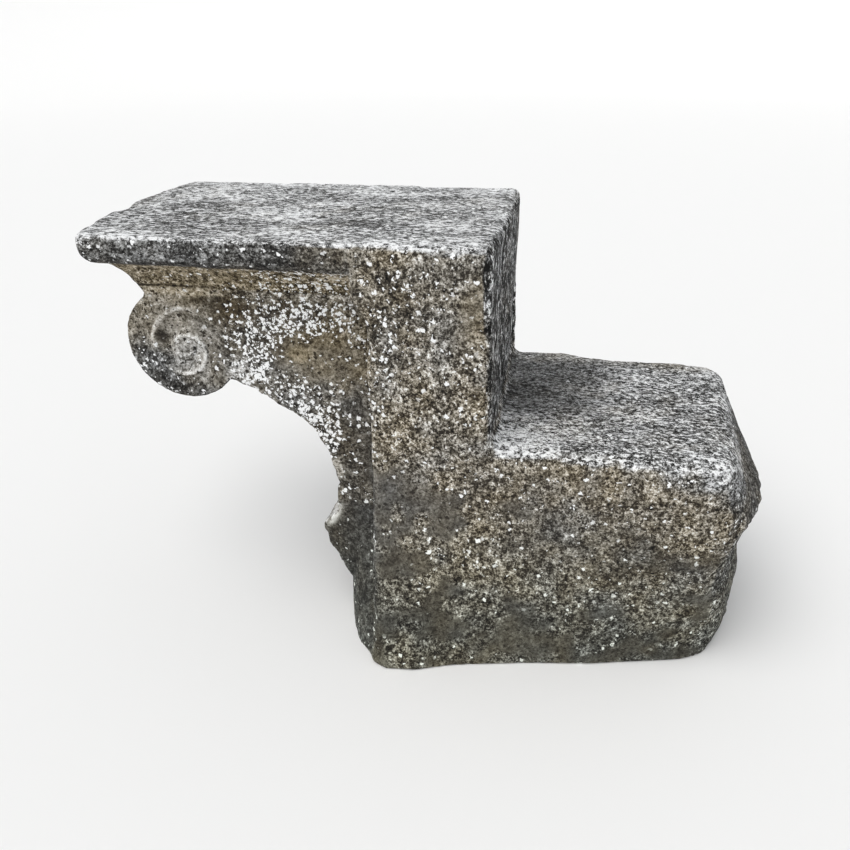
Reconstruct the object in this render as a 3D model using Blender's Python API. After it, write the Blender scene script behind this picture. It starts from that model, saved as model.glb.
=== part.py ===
"""A weathered stone corbel, carved from one block.

A tall block carries a low tail at its back, which a wall bears on, and in front of it a
moulded slab over a console that ends in a volute. Its arrises are worn, its lower front is
broken, and its tail is roughly hewn.

Metres. +X runs from the nose to the tail, Y across, +Z up. The origin lies on the underside,
below the wall line at mid-width. The photographed side faces -Y.
"""

import math

import bmesh
import bpy
import numpy as np

# Driving dimensions of the block and its tail
HEIGHT = 0.690
WIDTH = 0.408
BLOCK_LENGTH = 0.181
TAIL_LENGTH = 0.366
TAIL_HEIGHT = 0.388

# The slab's moulding: a worn roll, a soffit, and a hollow above the console's neck
NECK_REACH = 0.368
CORNICE_DEPTH = 0.104
CORNICE_PROJECTION = 0.062
ROLL_THICKNESS = 0.047
ROLL_FACE = 0.018
ROLL_ARRIS = 0.006
ROLL_UNDERCUT = 0.024
HOLLOW_PROJECTION = 0.028
HOLLOW_DROP = 0.054
HOLLOW_DEPTH = 0.003
FILLET_PROJECTION = 0.009
FILLET_HEIGHT = 0.021
FILLET_SINK = 0.0018
MITRE_RADIUS = 0.009
STOP_LENGTH = 0.022
STOP_SLOPE = 0.024

# The console, which stands back from the block's sides
SIDE_RECESS = 0.057
VOLUTE_RADIUS = 0.0905
VOLUTE_WANDER = 0.002
VOLUTE_SETBACK = 0.052
VOLUTE_DROP = 0.186
NECK_ANGLE = 120
JUNCTION_ANGLE = -33
VOLUTE_STEPS = 24
UNDERSIDE_SLOPE = 32
SWEEP_FULLNESS = 0.55
SWEEP_LOW_SHARE = 0.70
SWEEP_STEPS = 10
STEM_REACH = 0.077
STEM_TOP = 0.282
CONSOLE_ARRIS = 0.004

# The spiral on the volute's sides. Its eye lies a little off the volute's centre.
EYE_SHIFT_X = 0.009
EYE_SHIFT_Z = -0.006
SPIRAL_START = 0.0188
SPIRAL_GROWTH = 0.165
SPIRAL_STEPS = 32
SPIRAL_LINES = (0.0, 0.10, 0.25, 0.50, 0.75, 0.90)
EYE_RADIUS = 0.017
EYE_CORE = 0.006
EYE_HEIGHT = 0.0085
EYE_ROUNDNESS = 0.6
RIDGE_HEIGHT = 0.0080
RIM_HEIGHT = 0.0045
CHANNEL_HEIGHT = 0.0012
RELIEF_MARGIN = 0.008
RIM_DRAW = 0.0025

# The broken foot below the stem
LEDGE_HEIGHT = 0.218
LEDGE_DROP = 0.031
LEDGE_STEP = 0.030
LEDGE_FOOT = 0.021
LEDGE_FACE = 0.040
BREAK_HEIGHT = 0.117
FOOT_REACH = 0.075
FOOT_HEIGHT = 0.200
FOOT_INSET = 0.020
FOOT_SQUARENESS = 0.55
FOOT_LEVELS = 5
FOOT_STEPS = 12

# Wear
BLOCK_WEAR = 0.013
TAIL_WEAR = 0.030
BED_WEAR = 0.006
INNER_FILLET = 0.014
WEAR_SEGMENTS = 3
WAVE_HEIGHT = 0.0022
CELL = 0.046
EMBED = 0.045
TRIM = 0.010
SMALLEST_EDGE = 0.00002

# How far each side of the stone stands out, as a share of half its width, along its length.
# Stations are shares of the length from the wall line to the tail's end.
BED_NEAR = ((-0.122, 0.76), (-0.055, 1.06), (0.007, 1.23), (0.035, 1.29), (0.15, 1.27), (0.205, 1.19),
            (0.294, 1.13), (0.473, 1.02), (0.682, 0.92), (0.80, 0.84), (0.892, 0.80), (0.97, 0.70),
            (1.0, 0.63))
FAR_SIDE = ((-0.75, 1.00), (-0.35, 1.04), (0.0, 1.08), (0.32, 1.14), (0.40, 1.17), (0.47, 1.22),
            (0.53, 1.12), (0.62, 1.04), (0.80, 1.08), (0.93, 1.05), (1.0, 0.88))
BED_FADE_HEIGHT = 0.310

# How far the hewn end of the tail stands out, at stations of its height
END_SWELL = ((0.0, 0.026), (0.10, 0.043), (0.32, 0.044), (0.50, 0.028), (0.57, 0.028), (0.70, 0.064),
             (0.76, 0.054), (0.84, 0.030), (0.92, 0.012), (1.0, 0.002))
END_ROUGH_LENGTH = 0.130
END_SKEW = 0.010
NOSE_BOW = 0.024

STONE_COLOUR = (0.20, 0.19, 0.165, 1.0)


def clear_scene():
    """Removes everything that the startup file holds."""
    for thing in list(bpy.data.objects):
        bpy.data.objects.remove(thing, do_unlink=True)


def object_from(name, build):
    """Makes an object from a bmesh, with its faces turned outwards."""
    bmesh.ops.recalc_face_normals(build, faces=build.faces)
    mesh = bpy.data.meshes.new(name)
    build.to_mesh(mesh)
    build.free()
    made = bpy.data.objects.new(name, mesh)
    bpy.context.scene.collection.objects.link(made)
    return made


def smooth_step(value):
    """0 below 0, 1 above 1, and a smooth rise between."""
    t = np.clip(value, 0.0, 1.0)
    return t * t * (3.0 - 2.0 * t)


def prism(outline, low, high):
    """A closed prism with its outline in the XZ plane, from low to high along Y."""
    build = bmesh.new()
    rings = []
    for y in (low, high):
        rings.append([build.verts.new((x, y, z)) for x, z in outline])
    count = len(outline)
    for i in range(count):
        j = (i + 1) % count
        build.faces.new((rings[0][i], rings[0][j], rings[1][j], rings[1][i]))
    build.faces.new(rings[0][::-1])
    build.faces.new(rings[1])
    return build


def slice_evenly(build, axis, spacing):
    """Cuts a mesh along parallel planes, so that its large faces can take a worn shape."""
    places = [v.co[axis] for v in build.verts]
    low = min(places)
    span = max(places) - low
    count = max(1, round(span / spacing))
    normal = [0.0, 0.0, 0.0]
    normal[axis] = 1.0
    for i in range(1, count):
        point = [0.0, 0.0, 0.0]
        point[axis] = low + span * i / count
        everything = build.verts[:] + build.edges[:] + build.faces[:]
        bmesh.ops.bisect_plane(build, geom=everything, plane_co=point, plane_no=normal, dist=1e-6)


def join(base, others):
    """Unites other solids with the base one in one step. The base keeps its name."""
    group = bpy.data.collections.new("Joined solids")
    for other in others:
        other.hide_render = True
        other.display_type = "WIRE"
        group.objects.link(other)
    union = base.modifiers.new("Union", "BOOLEAN")
    union.operation = "UNION"
    union.solver = "EXACT"
    union.operand_type = "COLLECTION"
    union.collection = group
    settle(base)
    for other in others:
        bpy.data.objects.remove(other, do_unlink=True)
    bpy.data.collections.remove(group)
    build = bmesh.new()
    build.from_mesh(base.data)
    bmesh.ops.remove_doubles(build, verts=build.verts, dist=SMALLEST_EDGE)
    bmesh.ops.dissolve_degenerate(build, edges=build.edges, dist=SMALLEST_EDGE)
    build.to_mesh(base.data)
    build.free()


def cut_level(thing, height, upward):
    """Cuts a solid off level at a height, and closes the cut with a flat face."""
    build = bmesh.new()
    build.from_mesh(thing.data)
    everything = build.verts[:] + build.edges[:] + build.faces[:]
    bmesh.ops.bisect_plane(build, geom=everything, plane_co=(0.0, 0.0, height), plane_no=(0.0, 0.0, upward),
                           dist=SMALLEST_EDGE, clear_outer=True)
    rim = [e for e in build.edges if e.is_boundary]
    bmesh.ops.holes_fill(build, edges=rim, sides=0)
    bmesh.ops.recalc_face_normals(build, faces=build.faces)
    build.to_mesh(thing.data)
    build.free()


def settle(thing):
    """Replaces an object's mesh by what its modifiers make of it."""
    graph = bpy.context.evaluated_depsgraph_get()
    mesh = bpy.data.meshes.new_from_object(thing.evaluated_get(graph))
    thing.modifiers.clear()
    thing.data = mesh


def tail_end():
    """X of the tail's end."""
    return BLOCK_LENGTH + TAIL_LENGTH


def console_half_width():
    """Half the console's thickness, from mid-width to its recessed side."""
    return WIDTH / 2 - SIDE_RECESS


def block_and_tail():
    """The L-shaped block with its worn arrises, cut into cells."""
    stop_low = HEIGHT - CORNICE_DEPTH
    outline = [
        (0.0, 0.0),
        (tail_end(), 0.0),
        (tail_end(), TAIL_HEIGHT),
        (BLOCK_LENGTH, TAIL_HEIGHT),
        (BLOCK_LENGTH, HEIGHT),
        (-STOP_LENGTH, HEIGHT),
        (-STOP_LENGTH, stop_low + STOP_SLOPE),
        (0.0, stop_low),
    ]
    build = prism(outline, -WIDTH / 2, WIDTH / 2)
    weight = build.edges.layers.float.new("bevel_weight_edge")
    for edge in build.edges:
        a, b = (v.co for v in edge.verts)
        on_bed = a.z == 0.0 and b.z == 0.0
        inner = a.x == b.x and abs(a.x - BLOCK_LENGTH) < 1e-6 and abs(a.z - b.z) < 1e-6
        if on_bed:
            wear = BED_WEAR
        elif inner and a.z < HEIGHT - 1e-6:
            wear = INNER_FILLET
        elif max(a.x, b.x) > BLOCK_LENGTH + 1e-6:
            wear = TAIL_WEAR
        elif min(a.x, b.x) < BLOCK_LENGTH - 1e-6 and max(a.x, b.x) < BLOCK_LENGTH - 1e-6:
            wear = BED_WEAR
        else:
            wear = BLOCK_WEAR
        edge[weight] = wear / max(TAIL_WEAR, INNER_FILLET)
    block = object_from("Block and tail", build)
    bevel = block.modifiers.new("Worn arrises", "BEVEL")
    bevel.limit_method = "WEIGHT"
    bevel.width = max(TAIL_WEAR, INNER_FILLET)
    bevel.segments = WEAR_SEGMENTS
    bevel.use_clamp_overlap = True
    settle(block)
    build = bmesh.new()
    build.from_mesh(block.data)
    for axis in range(3):
        slice_evenly(build, axis, CELL)
    build.to_mesh(block.data)
    build.free()
    return block


def cornice_profile():
    """The moulding's profile, as (projection, drop below the top) from the top down."""
    points = []
    for i in range(WEAR_SEGMENTS + 1):
        turn = math.pi / 2 * i / WEAR_SEGMENTS
        across = ROLL_ARRIS * (1.0 - math.sin(turn))
        down = ROLL_ARRIS * (1.0 - math.cos(turn))
        points.append((CORNICE_PROJECTION - across, down))
    round_height = ROLL_THICKNESS - ROLL_FACE
    for i in range(2 * WEAR_SEGMENTS + 1):
        turn = math.pi / 2 * i / (2 * WEAR_SEGMENTS)
        across = ROLL_UNDERCUT * (1.0 - math.cos(turn))
        down = ROLL_FACE + round_height * math.sin(turn)
        points.append((CORNICE_PROJECTION - across, down))
    hollow_height = CORNICE_DEPTH - FILLET_HEIGHT - HOLLOW_DROP
    hollow_width = HOLLOW_PROJECTION - FILLET_PROJECTION
    for i in range(WEAR_SEGMENTS + 1):
        share = i / WEAR_SEGMENTS
        across = hollow_width * share + HOLLOW_DEPTH * math.sin(math.pi * share)
        points.append((HOLLOW_PROJECTION - across, HOLLOW_DROP + hollow_height * share))
    points.append((FILLET_PROJECTION - FILLET_SINK, CORNICE_DEPTH - FILLET_HEIGHT + FILLET_SINK))
    points.append((FILLET_SINK / 2, CORNICE_DEPTH))
    return points


def cornice_ring(projection, z):
    """One level of the slab: a rectangle with rounded front corners, seen from above."""
    front = -NECK_REACH - projection
    back = -STOP_LENGTH / 2
    side = console_half_width() + projection
    buried = (EMBED, -min(side, WIDTH / 2) + 2 * BLOCK_WEAR)
    along = max(1, round((back + NECK_REACH) / CELL))
    across = max(1, round(console_half_width() / CELL))
    corner_x = front + MITRE_RADIUS
    corner_y = side - MITRE_RADIUS
    near = [buried] + [(back + (corner_x - back) * i / along, -side) for i in range(along)]
    for i in range(WEAR_SEGMENTS + 1):
        turn = math.pi / 2 * i / WEAR_SEGMENTS
        near.append((corner_x - MITRE_RADIUS * math.sin(turn), -corner_y - MITRE_RADIUS * math.cos(turn)))
    near += [(front, -corner_y * (1.0 - i / across)) for i in range(1, across)]
    ring = near + [(front, 0.0)] + [(x, -y) for x, y in reversed(near)]
    return [(x, y, z) for x, y in ring]


def cornice():
    """The moulded slab, mitred round the nose, as a stack of rings. It rises past the top, to be trimmed."""
    build = bmesh.new()
    rings = []
    profile = cornice_profile()
    for projection, drop in [(profile[0][0], -TRIM)] + profile:
        ring = cornice_ring(projection, HEIGHT - drop)
        rings.append([build.verts.new(p) for p in ring])
    count = len(rings[0])
    for upper, lower in zip(rings, rings[1:]):
        for i in range(count):
            j = (i + 1) % count
            build.faces.new((upper[i], upper[j], lower[j], lower[i]))
    build.faces.new(rings[0][::-1])
    build.faces.new(rings[-1])
    return object_from("Cornice", build)


def volute_centre():
    """X and Z of the volute's centre."""
    return -NECK_REACH + VOLUTE_SETBACK, HEIGHT - VOLUTE_DROP


def volute_edge(angle):
    """A point on the volute's outline, whose radius wanders a little from a circle."""
    x, z = volute_centre()
    radius = VOLUTE_RADIUS + VOLUTE_WANDER * math.cos(2.0 * (angle - math.radians(JUNCTION_ANGLE)))
    return x + radius * math.cos(angle), z + radius * math.sin(angle)


def console_outline():
    """The console's side outline: its volute, the sweep below it, the stem and the ledge."""
    points = []
    start = math.radians(NECK_ANGLE)
    turn = math.radians(360 + JUNCTION_ANGLE - NECK_ANGLE)
    for i in range(VOLUTE_STEPS + 1):
        points.append(volute_edge(start + turn * i / VOLUTE_STEPS))
    x0, z0 = points[-1]
    x3, z3 = -STEM_REACH, STEM_TOP
    slope = math.radians(UNDERSIDE_SLOPE)
    pull = SWEEP_FULLNESS * math.hypot(x3 - x0, z3 - z0)
    x1, z1 = x0 + pull * math.cos(slope), z0 - pull * math.sin(slope)
    x2, z2 = x3, z3 + SWEEP_LOW_SHARE * pull
    for i in range(1, SWEEP_STEPS + 1):
        t = i / SWEEP_STEPS
        a, b, c, d = (1 - t) ** 3, 3 * t * (1 - t) ** 2, 3 * t * t * (1 - t), t ** 3
        points.append((a * x0 + b * x1 + c * x2 + d * x3, a * z0 + b * z1 + c * z2 + d * z3))
    points.append((-STEM_REACH, LEDGE_HEIGHT))
    points.append((-STEM_REACH - LEDGE_STEP, LEDGE_HEIGHT - LEDGE_DROP))
    points.append((-STEM_REACH - LEDGE_FOOT, LEDGE_HEIGHT - LEDGE_DROP - LEDGE_FACE))
    points.append((-STEM_REACH, BREAK_HEIGHT))
    points.append((FOOT_INSET - FOOT_REACH, EMBED))
    points.append((EMBED, EMBED))
    points.append((EMBED, HEIGHT - ROLL_THICKNESS))
    points.append((-NECK_REACH, HEIGHT - ROLL_THICKNESS))
    return points


def console():
    """The scrolled console under the slab, with its stem down to the bed."""
    half = console_half_width()
    build = prism(console_outline(), -half, half)
    rims = [e for e in build.edges if abs(e.verts[0].co.y - e.verts[1].co.y) < 1e-9]
    bmesh.ops.bevel(build, geom=rims, offset=CONSOLE_ARRIS, segments=2, profile=0.5, affect="EDGES")
    slice_evenly(build, 2, 2 * CELL)
    slice_evenly(build, 0, 2 * CELL)
    return object_from("Console", build)


def foot():
    """The broken swelling from the stem to the bed, in rounded rings. It passes the bed, to be trimmed."""
    build = bmesh.new()
    rings = []
    heights = [-TRIM] + [FOOT_HEIGHT * level / FOOT_LEVELS for level in range(FOOT_LEVELS + 1)]
    for z in heights:
        share = max(0.0, z / FOOT_HEIGHT)
        reach = FOOT_REACH + (STEM_REACH - FOOT_INSET - FOOT_REACH) * share ** 2
        low_half = WIDTH / 2 - BED_WEAR
        half = low_half + (console_half_width() - FOOT_INSET - low_half) * share ** 1.5
        ring = [(EMBED, -half + FOOT_INSET)]
        for i in range(FOOT_STEPS + 1):
            turn = math.pi * i / FOOT_STEPS
            across = -math.copysign(abs(math.cos(turn)) ** FOOT_SQUARENESS, math.cos(turn))
            ring.append((-reach * math.sin(turn) ** FOOT_SQUARENESS, half * across))
        ring.append((EMBED, half - FOOT_INSET))
        rings.append([build.verts.new((x, y, z)) for x, y in ring])
    count = len(rings[0])
    for lower, upper in zip(rings, rings[1:]):
        for i in range(count):
            j = (i + 1) % count
            build.faces.new((lower[i], lower[j], upper[j], upper[i]))
    build.faces.new(rings[0])
    build.faces.new(rings[-1])
    return object_from("Foot", build)


def relief_height(radius, between):
    """Height of the volute's carving over the console's side.

    between is 0 on one turn of the spiral ridge and 1 on the next. The channel between them is
    hollow, and the ridge sinks from the eye to the rim.
    """
    rim = VOLUTE_RADIUS - RELIEF_MARGIN
    share = min(1.0, max(0.0, (radius - SPIRAL_START) / (rim - SPIRAL_START)))
    crest = RIDGE_HEIGHT + (RIM_HEIGHT - RIDGE_HEIGHT) * share
    channel = CHANNEL_HEIGHT + (crest - CHANNEL_HEIGHT) * abs(1.0 - 2.0 * between) ** 3
    eye = EYE_HEIGHT * math.sqrt(max(0.0, 1.0 - (EYE_ROUNDNESS * radius / EYE_RADIUS) ** 2))
    blend = float(smooth_step(4.0 * (1.0 - radius / EYE_RADIUS)))
    return channel + (eye - channel) * blend


def rim_reach(turn):
    """How far the rim of the carving lies from the eye, at a turn clockwise from the nose side."""
    along = EYE_SHIFT_Z * math.sin(turn) - EYE_SHIFT_X * math.cos(turn)
    shift = math.hypot(EYE_SHIFT_X, EYE_SHIFT_Z)
    return math.sqrt((VOLUTE_RADIUS - RELIEF_MARGIN) ** 2 - shift ** 2 + along ** 2) - along


def volute_relief(side):
    """The carved face of the volute on one side: a ridge that winds out from the eye.

    The face is a strip between the ridge's turns, whose radius grows by a fixed share each turn.
    What would pass the rim is drawn in to it.
    """
    step = 2 * math.pi / SPIRAL_STEPS
    farthest = VOLUTE_RADIUS - RELIEF_MARGIN + math.hypot(EYE_SHIFT_X, EYE_SHIFT_Z)
    first = math.floor(math.log(EYE_CORE / SPIRAL_START) / SPIRAL_GROWTH / step)
    last = math.ceil(math.log(farthest / SPIRAL_START) / SPIRAL_GROWTH / step)
    x0, z0 = volute_centre()
    half = console_half_width()
    build = bmesh.new()

    def place(turn, radius, height):
        x = x0 + EYE_SHIFT_X - radius * math.cos(turn)
        z = z0 + EYE_SHIFT_Z + radius * math.sin(turn)
        return build.verts.new((x, side * (half + height), z))

    rim = [place(i * step, rim_reach(i * step), RIM_HEIGHT / 2) for i in range(SPIRAL_STEPS)]
    floor = [place(i * step, rim_reach(i * step), -RIM_HEIGHT) for i in range(SPIRAL_STEPS)]
    grid = []
    for i in range(first, last + SPIRAL_STEPS + 1):
        row = []
        for between in SPIRAL_LINES:
            radius = SPIRAL_START * math.exp(SPIRAL_GROWTH * (i * step + 2 * math.pi * between))
            inside = radius < rim_reach(i * step) - RIM_DRAW
            height = relief_height(radius, between)
            row.append(place(i * step, radius, height) if inside else rim[i % SPIRAL_STEPS])
        grid.append(row)
    for i in range(last - first + 1):
        row = grid[i] + grid[i + SPIRAL_STEPS][:1]
        after = grid[i + 1] + grid[min(i + 1 + SPIRAL_STEPS, len(grid) - 1)][:1]
        for j in range(len(SPIRAL_LINES)):
            corners = list(dict.fromkeys((row[j], row[j + 1], after[j + 1], after[j])))
            if len(corners) > 2:
                build.faces.new(corners)
    build.faces.new([grid[i][0] for i in range(SPIRAL_STEPS + 1)] + grid[0][:0:-1])
    for i in range(SPIRAL_STEPS):
        j = (i + 1) % SPIRAL_STEPS
        build.faces.new((rim[i], rim[j], floor[j], floor[i]))
    build.faces.new(floor)
    for loose in [v for v in build.verts if not v.link_faces]:
        build.verts.remove(loose)
    return object_from("Volute relief", build)


def worn_form(points):
    """Gives the squared stone its hewn and weathered form. Level faces stay level.

    Each point moves only in X and Y: a side's half-width is multiplied by its station's share,
    which near the bed follows the broken foot and fades out with height, and the tail's end
    swells at mid-height and draws in below.
    """
    x, y, z = points.T.copy()
    length = tail_end()
    half = WIDTH / 2
    share = x / length
    places, values = np.array(BED_NEAR).T
    at_bed = np.interp(share, places, values)
    fade = np.clip(1.0 - z / BED_FADE_HEIGHT, 0.0, 1.0) ** 1.3
    near = 1.0 + (at_bed - 1.0) * fade
    places, values = np.array(FAR_SIDE).T
    at_far = np.interp(share, places, values)
    stretch = np.where(y < 0.0, near, at_far)
    side = np.clip(np.abs(y) / half, 0.0, 1.0)

    behind = smooth_step((x - (length - END_ROUGH_LENGTH)) / END_ROUGH_LENGTH)
    places, values = np.array(END_SWELL).T
    swell = np.interp(z / TAIL_HEIGHT, places, values) * (1.0 - 0.7 * side ** 2)
    x_new = x + behind * (swell + END_SKEW * y / half)
    ahead = smooth_step(-x / NECK_REACH) * smooth_step((z - HEIGHT + CORNICE_DEPTH) / CORNICE_DEPTH)
    x_new -= ahead * NOSE_BOW * (1.0 - side ** 2)

    wave = np.sin(13.0 * x + 5.0 * z + 0.7) * np.sin(9.0 * z - 7.0 * x + 1.3)
    y_new = y * stretch + np.sign(y) * side ** 3 * WAVE_HEIGHT * wave
    x_new += WAVE_HEIGHT * smooth_step(x / BLOCK_LENGTH) * np.sin(17.0 * y + 11.0 * z)
    return np.stack([x_new, y_new, z], axis=1)


def weather(thing):
    """Moves every vertex of an object to its worn place."""
    mesh = thing.data
    points = np.empty(len(mesh.vertices) * 3)
    mesh.vertices.foreach_get("co", points)
    mesh.vertices.foreach_set("co", worn_form(points.reshape(-1, 3)).ravel())
    mesh.update()


def stone_material():
    """Grey-brown weathered limestone."""
    material = bpy.data.materials.new("Weathered limestone")
    material.use_nodes = True
    shader = material.node_tree.nodes["Principled BSDF"]
    shader.inputs["Base Color"].default_value = STONE_COLOUR
    shader.inputs["Roughness"].default_value = 0.92
    shader.inputs["Metallic"].default_value = 0.0
    return material


def corbel_stone():
    """The whole stone as one solid."""
    stone = block_and_tail()
    join(stone, [foot(), console(), cornice(), volute_relief(-1), volute_relief(1)])
    cut_level(stone, HEIGHT, 1.0)
    cut_level(stone, 0.0, -1.0)
    weather(stone)
    stone.name = "corbel_stone"
    stone.data.name = "corbel_stone"
    stone.data.materials.clear()
    stone.data.materials.append(stone_material())
    stone.data.shade_smooth()
    stone.data.set_sharp_from_angle(angle=math.radians(40))
    return stone


def main():
    clear_scene()
    corbel_stone()


main()
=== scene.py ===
"""A weathered stone corbel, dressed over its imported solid, on a pale studio floor.

Metres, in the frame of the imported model: +X runs from the nose to the tail, Y across, +Z up, and
the photographed side faces -Y.
"""

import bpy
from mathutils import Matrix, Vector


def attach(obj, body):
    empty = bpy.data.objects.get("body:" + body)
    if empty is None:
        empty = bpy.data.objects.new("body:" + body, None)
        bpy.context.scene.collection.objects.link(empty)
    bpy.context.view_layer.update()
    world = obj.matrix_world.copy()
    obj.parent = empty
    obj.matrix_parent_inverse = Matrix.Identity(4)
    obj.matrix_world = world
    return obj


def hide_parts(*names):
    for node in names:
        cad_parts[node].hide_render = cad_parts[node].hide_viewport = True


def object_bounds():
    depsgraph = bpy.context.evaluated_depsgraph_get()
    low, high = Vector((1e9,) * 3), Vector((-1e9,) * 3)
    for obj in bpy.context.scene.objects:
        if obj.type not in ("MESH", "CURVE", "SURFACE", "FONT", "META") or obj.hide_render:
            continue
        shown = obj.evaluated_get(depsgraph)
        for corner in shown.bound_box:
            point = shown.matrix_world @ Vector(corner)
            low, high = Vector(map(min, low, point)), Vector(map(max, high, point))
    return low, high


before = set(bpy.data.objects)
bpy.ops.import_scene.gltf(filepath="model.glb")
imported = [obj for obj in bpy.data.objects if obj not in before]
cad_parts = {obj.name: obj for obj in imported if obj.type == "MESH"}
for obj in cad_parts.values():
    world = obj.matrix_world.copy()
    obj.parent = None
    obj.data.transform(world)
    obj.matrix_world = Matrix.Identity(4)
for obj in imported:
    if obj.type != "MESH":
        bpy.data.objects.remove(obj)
CAD_BOX = [tuple(corner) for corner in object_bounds()]

import logging
import math
from dataclasses import dataclass
from enum import Enum

import bmesh
import bpy
import numpy as np
from mathutils import Matrix, Vector

LOG = logging.getLogger("corbel")

Points = np.ndarray
Values = np.ndarray

# How much of an edge's stray is upward, the reach under which a patch strays less, and the X
# ahead of which a patch lies on the console.
STRAY_RISE = 0.7
SMALL_PATCH = 0.035
CONSOLE_END = -0.06


class Zone(Enum):
    """The named float layers that the stone's skin carries for its material."""

    TONE = "tone"
    CONTRAST = "contrast"
    WARMTH = "warmth"
    LICHEN = "lichen"
    FLECK = "fleck"
    DAMP = "damp"
    STREAK = "streak"


def linear(red: float, green: float, blue: float) -> tuple[float, float, float, float]:
    """A colour seen as 0 to 255 values on a screen, as linear light.

    Args:
        red: Red, 0 to 255.
        green: Green, 0 to 255.
        blue: Blue, 0 to 255.

    Returns:
        The linear colour with full opacity.
    """
    parts = [part / 255.0 for part in (red, green, blue)]
    parts = [part / 12.92 if part <= 0.04045 else ((part + 0.055) / 1.055) ** 2.4 for part in parts]
    return (parts[0], parts[1], parts[2], 1.0)


def rise(value: Values, low: float, high: float) -> Values:
    """A smooth step: 0 at low, 1 at high, and t * t * (3 - 2t) between.

    Args:
        value: The values to step.
        low: Where the step starts.
        high: Where it ends, which may lie below low.

    Returns:
        Shares from 0 to 1.
    """
    t = np.clip((value - low) / (high - low), 0.0, 1.0)
    return t * t * (3.0 - 2.0 * t)


def band(value: Values, low: float, high: float, soft: float) -> Values:
    """1 between low and high, with soft ends that are half inside.

    Args:
        value: The values to test.
        low: The band's lower end.
        high: Its upper end.
        soft: The width of each end.

    Returns:
        Shares from 0 to 1.
    """
    return rise(value, low - soft / 2, low + soft / 2) * rise(value, high + soft / 2, high - soft / 2)


def hashed(cells: Points, seed: int) -> Values:
    """A fixed random number from 0 to 1 for each whole-number cell.

    Args:
        cells: Rows of three whole numbers.
        seed: Another seed gives other numbers.

    Returns:
        One number for each row.
    """
    x, y, z = (cells[:, axis].astype(np.int64) for axis in range(3))
    value = (x * 73856093) ^ (y * 19349663) ^ (z * 83492791) ^ (seed * 2654435761)
    value = value & 0xFFFFFFFF
    value = ((value ^ (value >> 15)) * 2246822519) & 0xFFFFFFFF
    value = ((value ^ (value >> 13)) * 3266489917) & 0xFFFFFFFF
    value = value ^ (value >> 16)
    return value / 4294967295.0


@dataclass(frozen=True)
class LatticeNoise:
    """Smooth noise: random values at the corners of cubic cells, blended by a smooth step."""

    seed: int
    cell: float
    stretch: tuple[float, float, float] = (1.0, 1.0, 1.0)

    def at(self, points: Points) -> Values:
        """The noise at every point.

        Args:
            points: Rows of X, Y and Z.

        Returns:
            Values from -1 to 1.
        """
        grid = points / (self.cell * np.array(self.stretch))
        corner = np.floor(grid).astype(np.int64)
        part = grid - corner
        part = part * part * (3.0 - 2.0 * part)
        total = np.zeros(len(points))
        for offset in np.ndindex(2, 2, 2):
            weight = np.prod(np.where(offset, part, 1.0 - part), axis=1)
            total += weight * hashed(corner + np.array(offset), self.seed)
        return 2.0 * total - 1.0


def summed(noises: tuple, points: Points) -> Values:
    """The sum of several noises at the points, each times its size."""
    return sum(size * noise.at(points) for size, noise in noises)


def dent(first: Values, second: Values, centre: tuple, reach: tuple) -> Values:
    """1 in the middle of an oval dent, and smoothly down to 0 a little outside its reach.

    Args:
        first: One coordinate of each point.
        second: Another one.
        centre: The oval's middle in both.
        reach: Its half widths in both.

    Returns:
        Shares from 0 to 1.
    """
    away = np.hypot((first - centre[0]) / reach[0], (second - centre[1]) / reach[1])
    return rise(away, 1.3, 0.3)


@dataclass(frozen=True)
class Pits:
    """Round pits: a bowl 1 - (distance / radius)^2 deep in some cells of a cubic lattice."""

    seed: int
    cell: float
    share: float

    def at(self, points: Points) -> Values:
        """How deep each point lies in a pit.

        Args:
            points: Rows of X, Y and Z.

        Returns:
            Shares from 0 outside the pits to 1 at a pit's centre.
        """
        grid = points / self.cell
        corner = np.floor(grid).astype(np.int64)
        deepest = np.zeros(len(points))
        for offset in np.ndindex(3, 3, 3):
            cells = corner + np.array(offset) - 1
            centre = cells + np.stack([hashed(cells, self.seed + axis) for axis in range(3)], axis=1)
            radius = 0.22 + 0.30 * hashed(cells, self.seed + 3)
            bowl = 1.0 - ((grid - centre) ** 2).sum(axis=1) / radius ** 2
            there = hashed(cells, self.seed + 4) < self.share
            deepest = np.maximum(deepest, np.where(there, bowl, 0.0))
        return np.clip(deepest, 0.0, 1.0)


@dataclass(frozen=True)
class Look:
    """How one area of the stone has weathered, or the painted shade or highlight laid on it, as shares
    from 0 to 1.
    """

    tone: float
    contrast: float
    warmth: float
    lichen: float = 0.0
    fleck: float = 0.0

    def shares(self) -> dict[Zone, float]:
        """The look's value in each layer that it is laid over."""
        return {Zone.TONE: self.tone, Zone.CONTRAST: self.contrast, Zone.WARMTH: self.warmth,
                Zone.LICHEN: self.lichen, Zone.FLECK: self.fleck}


# How each area has weathered, or the painted shade or highlight laid on it: its tone, contrast, warmth,
# lichen and pale flecks.
BARE_BLOCK = Look(0.45, 0.22, 0.52, 0.08)
TAIL_SIDE = Look(0.46, 0.26, 0.54, 0.06)
LOWER_SIDE = Look(0.39, 0.23, 0.44, 0.04)
FOOT_SIDE = Look(0.36, 0.20, 0.32, 0.03)
LOWER_BLOCK = Look(0.34, 0.22, 0.38, 0.03)
CONSOLE = Look(0.40, 0.18, 0.50, 0.10)
NEAR_CONSOLE = Look(0.40, 0.17, 0.50, 0.22)
OCHRE_BAND = Look(0.48, 0.19, 0.92, 0.04)
NOSE_BAND = Look(0.33, 0.17, 0.60, 0.04)
SPOTTED_BAND = Look(0.40, 0.24, 0.98, 0.40)
OCHRE_FAN = Look(0.61, 0.14, 0.86, 0.01)
DRUM_FRONT = Look(0.52, 0.16, 0.70, 0.04)
SMOOTH_CRUST = Look(0.31, 0.065, 0.36, 0.0)
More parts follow.
